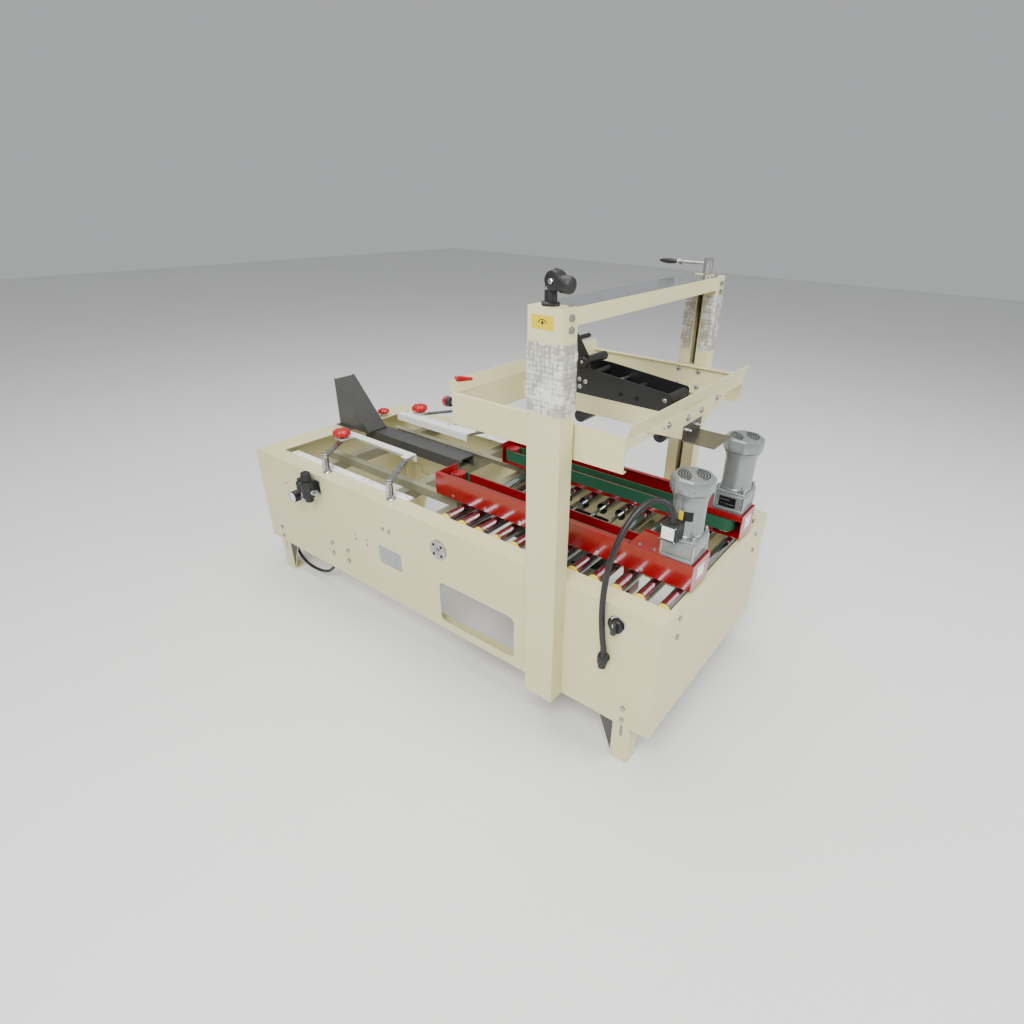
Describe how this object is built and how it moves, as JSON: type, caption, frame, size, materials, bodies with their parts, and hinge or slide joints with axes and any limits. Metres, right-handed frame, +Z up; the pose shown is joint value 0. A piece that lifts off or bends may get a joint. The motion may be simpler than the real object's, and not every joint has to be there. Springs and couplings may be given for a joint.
{
  "type": "carton sealer machine",
  "caption": "Floor-standing carton sealer: roller bed, side belt drives with gear motors, crank-raised upper tape head, lower tape unit, and infeed guide rails.",
  "frame": {"origin": "on the floor under the middle of the machine's box", "axes": "+X is the way cartons travel (infeed at -X), +Y is the side away from the operator, +Z is up"},
  "size_m": [1.782, 0.86, 1.2929],
  "materials": {
    "cream_paint": "satin powder coat, fine texture",
    "red_paint": "gloss paint",
    "motor_grey": "satin grey enamel",
    "plate_grey": "dark grey satin plate",
    "zinc_steel": "zinc plated steel",
    "roller_chrome": "polished roller tube",
    "ski_steel": "bare steel",
    "black_paint": "black satin coat",
    "black_plastic": "moulded, slightly rough",
    "red_plastic": "moulded",
    "yellow_plastic": "moulded end cap",
    "green_belt": "matt rough belt",
    "wrap_film": "clear bubble film, wrapped in layers",
    "cover_steel": "smooth bright cover sheet",
    "black_rubber": "smooth hose"
  },
  "bodies": {
    "machine": {"side_panels": "cream_paint", "end_plates": "cream_paint", "legs": "cream_paint", "posts": "cream_paint", "top_beam": "cream_paint", "beam_cover": "cover_steel", "bed_crossmembers": "cream_paint", "roller_caps": "yellow_plastic", "infeed_plates": "plate_grey", "guide_mounts": "zinc_steel", "air_regulator": "black_plastic", "cable_fittings": "black_plastic", "fasteners": "zinc_steel", "slide_rods": "zinc_steel", "post_wraps": "wrap_film", "air_hose": "black_rubber", "drive_conduit": "black_rubber", "lower_tape_body": "black_paint"},
    "head": {"head_frame": "cream_paint", "head_ski": "ski_steel", "upper_tape_body": "black_paint"},
    "upper_apply": {"upper_apply_arm": "black_paint"},
    "upper_wipe": {"upper_wipe_arm": "black_paint"},
    "lower_apply": {"lower_apply_arm": "black_paint"},
    "crank": {"crank_handle": "zinc_steel", "lead_screw_far": "zinc_steel"},
    "grip": {"crank_grip": "black_plastic"},
    "screw_near": {"lead_screw_near": "zinc_steel"},
    "drive_near": {"drive_frame_near": "red_paint", "gear_motor_near": "motor_grey", "junction_box": "black_plastic", "belt_near": "green_belt"},
    "pulley_near": {"pulley_near": "zinc_steel"},
    "drive_far": {"drive_frame_far": "red_paint", "gear_motor_far": "motor_grey", "belt_far": "green_belt"},
    "pulley_far": {"pulley_far": "zinc_steel"},
    "width_screw": {"width_screw": "zinc_steel"},
    "link_near_a": {"link_near_a": "zinc_steel"},
    "link_near_b": {"link_near_b": "zinc_steel"},
    "rail_near": {"rail_near": "cream_paint"},
    "star_near": {"star_knob_near": "red_plastic"},
    "link_far_a": {"link_far_a": "zinc_steel"},
    "link_far_b": {"link_far_b": "zinc_steel"},
    "rail_far": {"rail_far": "cream_paint"},
    "star_far": {"star_knob_far": "red_plastic"},
    "regulator": {"regulator_knob": "black_plastic"},
    "switch": {"switch_knob": "black_plastic"},
    "roller_01": {"roller_01": "roller_chrome"},
    "roller_02": {"roller_02": "roller_chrome"},
    "roller_03": {"roller_03": "roller_chrome"},
    "roller_04": {"roller_04": "roller_chrome"},
    "roller_05": {"roller_05": "roller_chrome"},
    "roller_06": {"roller_06": "roller_chrome"},
    "roller_07": {"roller_07": "roller_chrome"},
    "roller_08": {"roller_08": "roller_chrome"},
    "roller_09": {"roller_09": "roller_chrome"},
    "roller_10": {"roller_10": "roller_chrome"},
    "roller_11": {"roller_11": "roller_chrome"},
    "roller_12": {"roller_12": "roller_chrome"}
  },
  "joints": [
    {"name": "head_lift", "type": "slide", "parent": "machine", "child": "head", "axis": [0, 0, 1], "range_m": [-0.21, 0.16]},
    {"name": "crank_turn", "type": "hinge", "parent": "machine", "child": "crank", "pos_m": [0.5525, 0.399, 1.251], "axis": [0, 0, 1], "range_deg": [-7600, 5800]},
    {"name": "screw_near_turn", "type": "hinge", "parent": "machine", "child": "screw_near", "pos_m": [0.5525, -0.399, 0.7], "axis": [0, 0, 1], "range_deg": [-7600, 5800]},
    {"name": "crank_grip_spin", "type": "hinge", "parent": "crank", "child": "grip", "pos_m": [0.4, 0.399, 1.251], "axis": [1, 0, 0], "continuous": true},
    {"name": "drive_near_slide", "type": "slide", "parent": "machine", "child": "drive_near", "axis": [0, 1, 0], "range_m": [-0.075, 0.045], "deforming": ["drive_conduit"]},
    {"name": "drive_far_slide", "type": "slide", "parent": "machine", "child": "drive_far", "axis": [0, 1, 0], "range_m": [-0.045, 0.075]},
    {"name": "width_screw_turn", "type": "hinge", "parent": "machine", "child": "width_screw", "pos_m": [0.11975, 0, 0.441], "axis": [0, 1, 0], "range_deg": [-2720, 1640]},
    {"name": "pulley_near_spin", "type": "hinge", "parent": "drive_near", "child": "pulley_near", "pos_m": [0.827, -0.145, 0.6], "axis": [0, 0, 1], "continuous": true},
    {"name": "pulley_far_spin", "type": "hinge", "parent": "drive_far", "child": "pulley_far", "pos_m": [0.827, 0.145, 0.6], "axis": [0, 0, 1], "continuous": true},
    {"name": "link_near_a_swing", "type": "hinge", "parent": "machine", "child": "link_near_a", "pos_m": [-0.48, -0.333, 0.584], "axis": [0, 0, 1], "range_deg": [-25, 25]},
    {"name": "link_near_b_swing", "type": "hinge", "parent": "machine", "child": "link_near_b", "pos_m": [-0.137, -0.333, 0.584], "axis": [0, 0, 1], "range_deg": [-25, 25]},
    {"name": "rail_near_turn", "type": "hinge", "parent": "link_near_a", "child": "rail_near", "pos_m": [-0.585, -0.163, 0.589], "axis": [0, 0, 1], "range_deg": [-25, 25]},
    {"name": "star_near_turn", "type": "hinge", "parent": "rail_near", "child": "star_near", "pos_m": [-0.563, -0.197, 0.61], "axis": [0, 0, 1], "range_deg": [0, 720]},
    {"name": "link_far_a_swing", "type": "hinge", "parent": "machine", "child": "link_far_a", "pos_m": [-0.48, 0.333, 0.584], "axis": [0, 0, 1], "range_deg": [-25, 25]},
    {"name": "link_far_b_swing", "type": "hinge", "parent": "machine", "child": "link_far_b", "pos_m": [-0.137, 0.333, 0.584], "axis": [0, 0, 1], "range_deg": [-25, 25]},
    {"name": "rail_far_turn", "type": "hinge", "parent": "link_far_a", "child": "rail_far", "pos_m": [-0.585, 0.163, 0.589], "axis": [0, 0, 1], "range_deg": [-25, 25]},
    {"name": "star_far_turn", "type": "hinge", "parent": "rail_far", "child": "star_far", "pos_m": [-0.563, 0.197, 0.61], "axis": [0, 0, 1], "range_deg": [0, 720]},
    {"name": "upper_apply_swing", "type": "hinge", "parent": "head", "child": "upper_apply", "pos_m": [0.47, 0, 0.905], "axis": [0, 1, 0], "range_deg": [0, 30], "stiffness_Nm_per_rad": 3, "springref_deg": -28.65},
    {"name": "upper_wipe_swing", "type": "hinge", "parent": "head", "child": "upper_wipe", "pos_m": [0.59, 0, 0.905], "axis": [0, 1, 0], "range_deg": [-30, 0]},
    {"name": "lower_apply_swing", "type": "hinge", "parent": "machine", "child": "lower_apply", "pos_m": [0.33975, 0, 0.48], "axis": [0, 1, 0], "range_deg": [-25, 0], "stiffness_Nm_per_rad": 4, "springref_deg": 28.65},
    {"name": "regulator_turn", "type": "hinge", "parent": "machine", "child": "regulator", "pos_m": [-0.505, -0.407, 0.52], "axis": [0, 0, 1], "range_deg": [-720, 720]},
    {"name": "switch_turn", "type": "hinge", "parent": "machine", "child": "switch", "pos_m": [0.762, -0.39, 0.463], "axis": [0, 1, 0], "range_deg": [0, 90]},
    {"name": "roller_01_spin", "type": "hinge", "parent": "machine", "child": "roller_01", "pos_m": [0.085, 0, 0.507], "axis": [0, 1, 0], "continuous": true},
    {"name": "roller_02_spin", "type": "hinge", "parent": "machine", "child": "roller_02", "pos_m": [0.1545, 0, 0.507], "axis": [0, 1, 0], "continuous": true},
    {"name": "roller_03_spin", "type": "hinge", "parent": "machine", "child": "roller_03", "pos_m": [0.224, 0, 0.507], "axis": [0, 1, 0], "continuous": true},
    {"name": "roller_04_spin", "type": "hinge", "parent": "machine", "child": "roller_04", "pos_m": [0.2935, 0, 0.507], "axis": [0, 1, 0], "continuous": true},
    {"name": "roller_05_spin", "type": "hinge", "parent": "machine", "child": "roller_05", "pos_m": [0.363, 0, 0.507], "axis": [0, 1, 0], "continuous": true},
    {"name": "roller_06_spin", "type": "hinge", "parent": "machine", "child": "roller_06", "pos_m": [0.4325, 0, 0.507], "axis": [0, 1, 0], "continuous": true},
    {"name": "roller_07_spin", "type": "hinge", "parent": "machine", "child": "roller_07", "pos_m": [0.502, 0, 0.507], "axis": [0, 1, 0], "continuous": true},
    {"name": "roller_08_spin", "type": "hinge", "parent": "machine", "child": "roller_08", "pos_m": [0.5715, 0, 0.507], "axis": [0, 1, 0], "continuous": true},
    {"name": "roller_09_spin", "type": "hinge", "parent": "machine", "child": "roller_09", "pos_m": [0.641, 0, 0.507], "axis": [0, 1, 0], "continuous": true},
    {"name": "roller_10_spin", "type": "hinge", "parent": "machine", "child": "roller_10", "pos_m": [0.7105, 0, 0.507], "axis": [0, 1, 0], "continuous": true},
    {"name": "roller_11_spin", "type": "hinge", "parent": "machine", "child": "roller_11", "pos_m": [0.78, 0, 0.507], "axis": [0, 1, 0], "continuous": true},
    {"name": "roller_12_spin", "type": "hinge", "parent": "machine", "child": "roller_12", "pos_m": [0.8495, 0, 0.507], "axis": [0, 1, 0], "continuous": true}
  ],
  "couplings": [
    {"joint": "crank_turn", "follows": "head_lift", "rad_per_m": 628.32},
    {"joint": "screw_near_turn", "follows": "head_lift", "rad_per_m": 628.32},
    {"joint": "drive_far_slide", "follows": "drive_near_slide", "ratio": -1},
    {"joint": "width_screw_turn", "follows": "drive_near_slide", "rad_per_m": 628.32},
    {"joint": "upper_wipe_swing", "follows": "upper_apply_swing", "ratio": -1},
    {"joint": "link_near_b_swing", "follows": "link_near_a_swing", "ratio": 1},
    {"joint": "rail_near_turn", "follows": "link_near_a_swing", "ratio": -1},
    {"joint": "link_far_b_swing", "follows": "link_far_a_swing", "ratio": 1},
    {"joint": "rail_far_turn", "follows": "link_far_a_swing", "ratio": -1}
  ]
}
